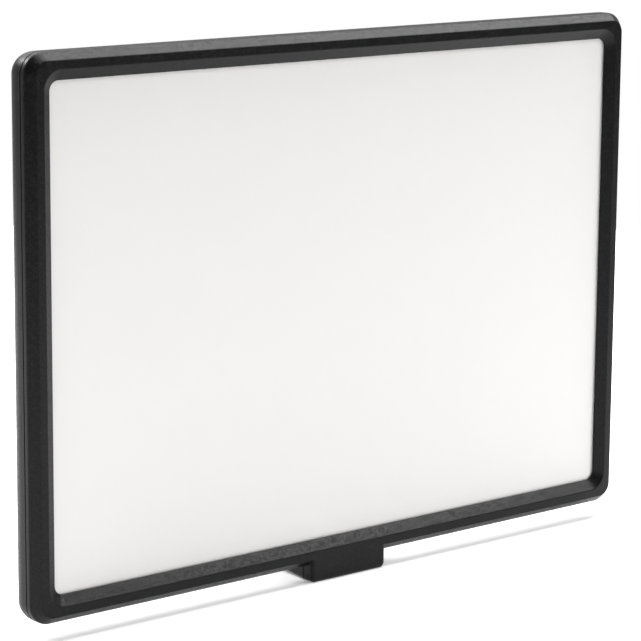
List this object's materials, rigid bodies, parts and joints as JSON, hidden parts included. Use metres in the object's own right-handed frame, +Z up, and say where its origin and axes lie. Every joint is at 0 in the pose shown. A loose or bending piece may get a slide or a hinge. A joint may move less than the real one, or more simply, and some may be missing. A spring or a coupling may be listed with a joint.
{
  "type": "led panel light",
  "caption": "Slim edge-lit LED panel light with an opal diffuser, rear control hump, slide-on battery plate and a threaded foot.",
  "frame": {"origin": "middle of the box's base: the base plane of the foot, halfway across the panel and halfway through its depth", "axes": "+Z up the panel, +X to the right as seen from the lit side, +Y from the lit face to the back"},
  "size_m": [0.189, 0.026, 0.1361],
  "materials": {
    "case_plastic": "fine spark-eroded texture, satin black",
    "control_plastic": "smooth satin black",
    "opal_acrylic": "opal white, satin face",
    "clear_acrylic": "clear, polished edges",
    "white_film": "bright white film",
    "plain_aluminium": "rolled sheet",
    "led_board": "white solder mask",
    "driver_board": "green solder mask",
    "display_glass": "polished dark",
    "bright_steel": "plated",
    "socket_brass": "turned",
    "contact_brass": "plated",
    "black_screw": "black zinc",
    "flat_lead": "white film lead",
    "red_wire": "smooth insulation",
    "black_wire": "smooth insulation"
  },
  "bodies": {
    "case": {"front_bezel": "case_plastic", "rear_cover": "case_plastic", "battery_plate": "case_plastic", "tripod_socket": "socket_brass", "diffuser": "opal_acrylic", "light_guide": "clear_acrylic", "reflector_sheet": "white_film", "back_plate": "plain_aluminium", "led_strip_left": "led_board", "led_strip_right": "led_board", "led_lead_left": "flat_lead", "led_lead_right": "flat_lead", "control_board": "driver_board", "display_module": "display_glass", "display_window": "display_glass", "brightness_potentiometer": "bright_steel", "colour_potentiometer": "bright_steel", "power_switch_body": "bright_steel", "dc_inlet": "control_plastic", "contact_block": "control_plastic", "contact_blade_1": "contact_brass", "contact_blade_2": "contact_brass", "contact_blade_3": "contact_brass", "battery_lead_positive": "red_wire", "battery_lead_negative": "black_wire", "catch_spring": "bright_steel", "cover_screw_1": "black_screw", "cover_screw_2": "black_screw", "cover_screw_3": "black_screw", "cover_screw_4": "black_screw", "cover_screw_5": "black_screw", "cover_screw_6": "black_screw", "cover_screw_7": "black_screw", "cover_screw_8": "black_screw", "plate_screw_1": "black_screw", "board_screw_1": "bright_steel", "plate_screw_2": "black_screw", "board_screw_2": "bright_steel", "plate_screw_3": "black_screw", "board_screw_3": "bright_steel", "plate_screw_4": "black_screw", "board_screw_4": "bright_steel"},
    "brightness_dial": {"brightness_knob": "control_plastic", "brightness_shaft": "plain_aluminium"},
    "colour_dial": {"colour_knob": "control_plastic", "colour_shaft": "plain_aluminium"},
    "power_slide": {"power_slider": "control_plastic"},
    "catch": {"battery_catch": "control_plastic"}
  },
  "joints": [
    {"name": "brightness_turn", "type": "hinge", "parent": "case", "child": "brightness_dial", "pos_m": [-0.039, 0.0094, 0.052], "axis": [0, -1, 0], "range_deg": [0, 280]},
    {"name": "colour_turn", "type": "hinge", "parent": "case", "child": "colour_dial", "pos_m": [0.039, 0.0094, 0.052], "axis": [0, -1, 0], "range_deg": [0, 280]},
    {"name": "power_slide_move", "type": "slide", "parent": "case", "child": "power_slide", "axis": [0, 0, 1], "range_m": [0, 0.003]},
    {"name": "catch_press", "type": "slide", "parent": "case", "child": "catch", "axis": [0, -1, 0], "range_m": [0, 0.0022], "stiffness_N_per_m": 350, "springref_m": -0.002, "deforming": ["catch_spring"]}
  ]
}
